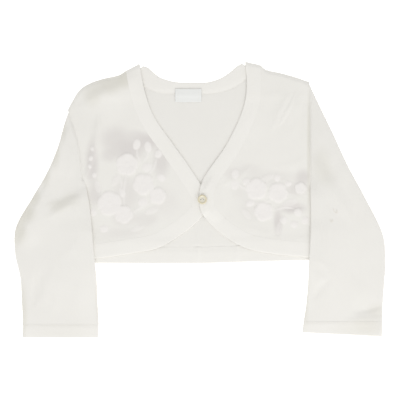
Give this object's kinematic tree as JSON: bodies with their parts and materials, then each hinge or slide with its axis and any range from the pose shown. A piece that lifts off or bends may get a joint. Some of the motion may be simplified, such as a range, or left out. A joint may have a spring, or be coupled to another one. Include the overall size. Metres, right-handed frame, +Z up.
{
  "type": "child's bolero",
  "caption": "Short fine-knit bolero laid flat, with rounded fronts, a V neck closed by a button, long sleeves and raised tonal flowers.",
  "frame": {"origin": "on the floor under the middle of the laid garment", "axes": "+X towards the viewer's right across the garment, +Y towards its neck, +Z up from the floor"},
  "size_m": [0.4598, 0.3408, 0.0089],
  "materials": {
    "plain_knit": "off-white fine jersey, matt",
    "flowered_knit": "off-white fine jersey with tonal raised flowers, matt",
    "band_knit": "off-white doubled knit band, matt",
    "woven_label": "bare whitish woven tape",
    "button_resin": "pearly cream, polished"
  },
  "bodies": {
    "root": {"back_panel": "plain_knit", "back_hem_band": "band_knit", "neck_band": "band_knit", "front_panel_left": "flowered_knit", "front_panel_right": "flowered_knit", "front_band_left": "band_knit", "front_band_right": "band_knit", "sleeve_left": "plain_knit", "sleeve_right": "plain_knit", "cuff_left": "band_knit", "cuff_right": "band_knit", "neck_label": "woven_label", "button": "button_resin"}
  },
  "joints": []
}
